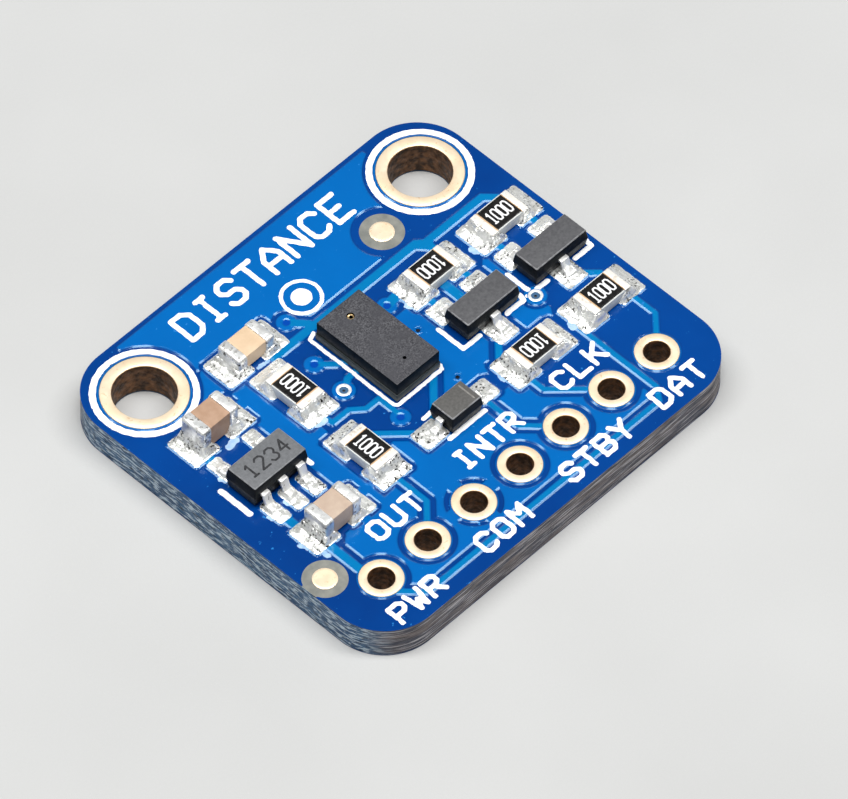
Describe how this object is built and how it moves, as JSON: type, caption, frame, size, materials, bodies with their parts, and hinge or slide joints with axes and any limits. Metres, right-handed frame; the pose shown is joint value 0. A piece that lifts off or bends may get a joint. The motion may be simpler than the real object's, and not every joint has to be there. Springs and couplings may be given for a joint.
{
  "type": "laser distance sensor board",
  "caption": "Small circuit board with a time-of-flight distance sensor, chips, two plated screw holes and a row of plated header holes.",
  "frame": {"origin": "centre of the board's underside", "axes": "+X along the row of header holes, +Y from the header row to the two mounting holes, +Z out of the component side, the way the sensor looks"},
  "size_m": [0.02, 0.0178, 0.0029],
  "materials": {
    "laminate": "satin woven glass and resin",
    "solder_mask": "glossy lacquer",
    "gold_plating": "satin gold over nickel and copper",
    "tin": "satin tin plating with solder",
    "sensor_substrate": "matte",
    "sensor_moulding": "fine-grained matte moulding",
    "silicon": "polished",
    "emitter_metal": "polished",
    "filter_glass": "dark red polished glass",
    "grey_moulding": "matte moulding",
    "black_moulding": "satin moulding",
    "diode_moulding": "matte moulding",
    "white_ceramic": "matte alumina",
    "tan_ceramic": "satin fired ceramic"
  },
  "bodies": {
    "root": {"board_laminate": "laminate", "solder_mask_top": "solder_mask", "mount_hole_plating_left": "gold_plating", "mount_hole_plating_right": "gold_plating", "header_hole_plating_1": "gold_plating", "header_hole_plating_2": "gold_plating", "header_hole_plating_3": "gold_plating", "header_hole_plating_4": "gold_plating", "header_hole_plating_5": "gold_plating", "header_hole_plating_6": "gold_plating", "header_hole_plating_7": "gold_plating", "sensor_substrate": "sensor_substrate", "sensor_cap": "sensor_moulding", "emitter_die": "emitter_metal", "receiver_die": "silicon", "receiver_filter": "filter_glass", "regulator_body": "grey_moulding", "regulator_lead_1": "tin", "regulator_lead_2": "tin", "regulator_lead_3": "tin", "regulator_lead_4": "tin", "regulator_lead_5": "tin", "clock_transistor_body": "black_moulding", "clock_transistor_lead_1": "tin", "clock_transistor_lead_2": "tin", "clock_transistor_lead_3": "tin", "data_transistor_body": "black_moulding", "data_transistor_lead_1": "tin", "data_transistor_lead_2": "tin", "data_transistor_lead_3": "tin", "shutdown_diode_body": "diode_moulding", "shutdown_diode_lead_1": "tin", "shutdown_diode_lead_2": "tin", "resistor_1_ceramic": "white_ceramic", "resistor_1_terminal_left": "tin", "resistor_1_terminal_right": "tin", "resistor_2_ceramic": "white_ceramic", "resistor_2_terminal_left": "tin", "resistor_2_terminal_right": "tin", "resistor_3_ceramic": "white_ceramic", "resistor_3_terminal_left": "tin", "resistor_3_terminal_right": "tin", "resistor_4_ceramic": "white_ceramic", "resistor_4_terminal_left": "tin", "resistor_4_terminal_right": "tin", "resistor_5_ceramic": "white_ceramic", "resistor_5_terminal_left": "tin", "resistor_5_terminal_right": "tin", "resistor_6_ceramic": "white_ceramic", "resistor_6_terminal_left": "tin", "resistor_6_terminal_right": "tin", "sensor_capacitor_ceramic": "tan_ceramic", "sensor_capacitor_terminal_left": "tin", "sensor_capacitor_terminal_right": "tin", "output_capacitor_ceramic": "tan_ceramic", "output_capacitor_terminal_left": "tin", "output_capacitor_terminal_right": "tin", "input_capacitor_ceramic": "tan_ceramic", "input_capacitor_terminal_left": "tin", "input_capacitor_terminal_right": "tin"}
  },
  "joints": []
}
